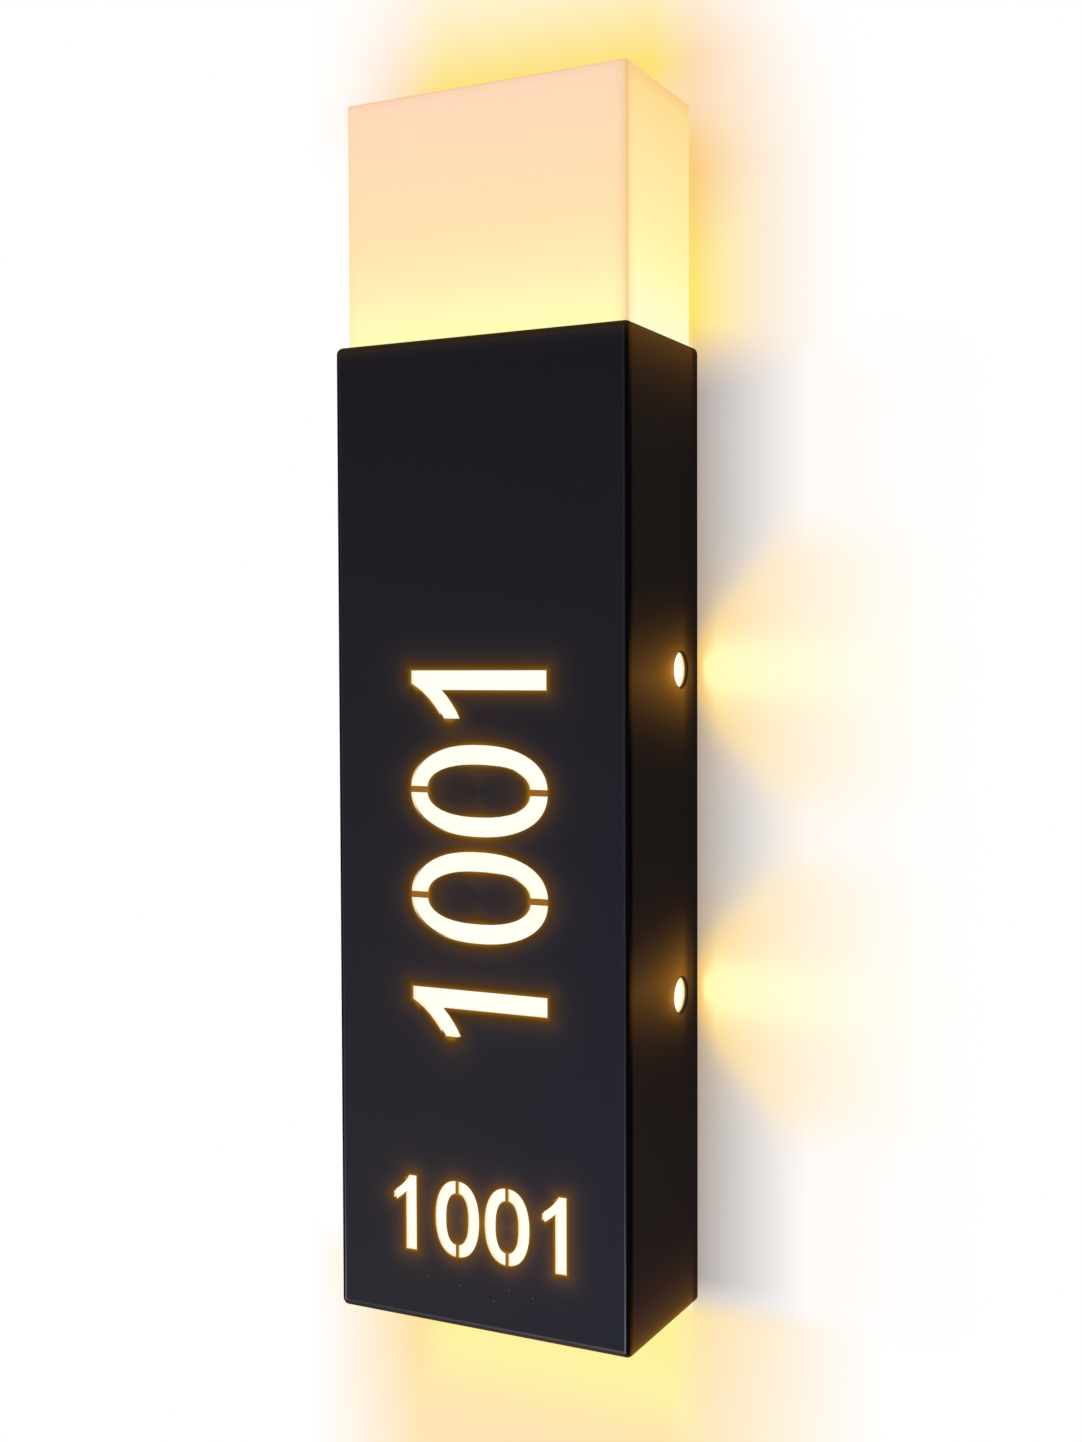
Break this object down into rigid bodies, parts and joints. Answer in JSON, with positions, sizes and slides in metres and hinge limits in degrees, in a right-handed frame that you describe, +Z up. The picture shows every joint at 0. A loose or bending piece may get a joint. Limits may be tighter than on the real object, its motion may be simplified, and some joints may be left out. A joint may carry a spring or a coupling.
{
  "type": "room number wall light",
  "caption": "Upright black box wall light with stencil-cut room number, opal light box on top, side and bottom light openings, on a wall tray.",
  "frame": {"origin": "middle of the four wall screw slots, on the wall plane at the back of the tray", "axes": "+X to the right seen from the room, +Y into the wall, +Z up"},
  "size_m": [0.1, 0.0529, 0.3776],
  "materials": {
    "black_powder_coat": "satin",
    "opal_acrylic": "frosted, lit from inside",
    "galvanised_steel": "galvanised",
    "zinc_fastener": "zinc plated",
    "spring_steel": "bright",
    "aluminium_rivet": "plain",
    "brass": "plain",
    "white_nylon": "moulded",
    "black_foam": "closed cell",
    "grey_rubber": "matt",
    "white_mask": "white board coating",
    "led_package": "phosphor",
    "driver_shell": "moulded",
    "white_insulation": "flexible",
    "brown_insulation": "flexible",
    "blue_insulation": "flexible",
    "green_yellow_insulation": "flexible"
  },
  "bodies": {
    "tray": {"wall_plate": "galvanised_steel", "bottom_bracket": "galvanised_steel", "side_brackets": "galvanised_steel", "board_screws": "zinc_fastener", "driver_screws": "zinc_fastener", "terminal_screws": "zinc_fastener", "terminal_fixing_screws": "zinc_fastener", "lock_screws": "zinc_fastener", "lock_rivet_nuts": "zinc_fastener", "earth_washer": "zinc_fastener", "earth_tag": "zinc_fastener", "earth_nut": "zinc_fastener", "spring_clips": "spring_steel", "bracket_rivets": "aluminium_rivet", "clip_rivets": "aluminium_rivet", "earth_stud": "brass", "board_standoffs": "white_nylon", "lead_plugs": "white_nylon", "terminal_block": "white_nylon", "cable_grommet": "grey_rubber", "number_board": "white_mask", "small_board": "white_mask", "top_board": "white_mask", "bottom_board": "white_mask", "side_boards": "white_mask", "number_leds": "led_package", "small_leds": "led_package", "top_leds": "led_package", "bottom_leds": "led_package", "side_leds": "led_package", "driver_base": "driver_shell", "driver_lid": "driver_shell", "number_lead": "white_insulation", "small_lead": "white_insulation", "bottom_lead": "white_insulation", "top_lead": "white_insulation", "side_leads": "white_insulation", "live_lead": "brown_insulation", "neutral_lead": "blue_insulation", "earth_lead": "green_yellow_insulation"},
    "cover": {"housing": "black_powder_coat", "opal_box": "opal_acrylic", "box_spacer": "black_foam", "box_clamp_bar": "galvanised_steel", "box_studs": "zinc_fastener", "box_nuts": "zinc_fastener", "large_number_diffuser": "opal_acrylic", "small_number_diffuser": "opal_acrylic", "diffuser_studs": "zinc_fastener", "diffuser_washers": "zinc_fastener", "diffuser_nuts": "zinc_fastener", "side_discs": "opal_acrylic", "side_disc_rings": "white_nylon", "bottom_diffuser": "opal_acrylic", "bottom_diffuser_clips": "zinc_fastener", "tactile_beads": "black_powder_coat"}
  },
  "joints": [
    {"name": "cover_pull", "type": "slide", "parent": "tray", "child": "cover", "axis": [0, -1, 0], "range_m": [0, 0.06]}
  ]
}
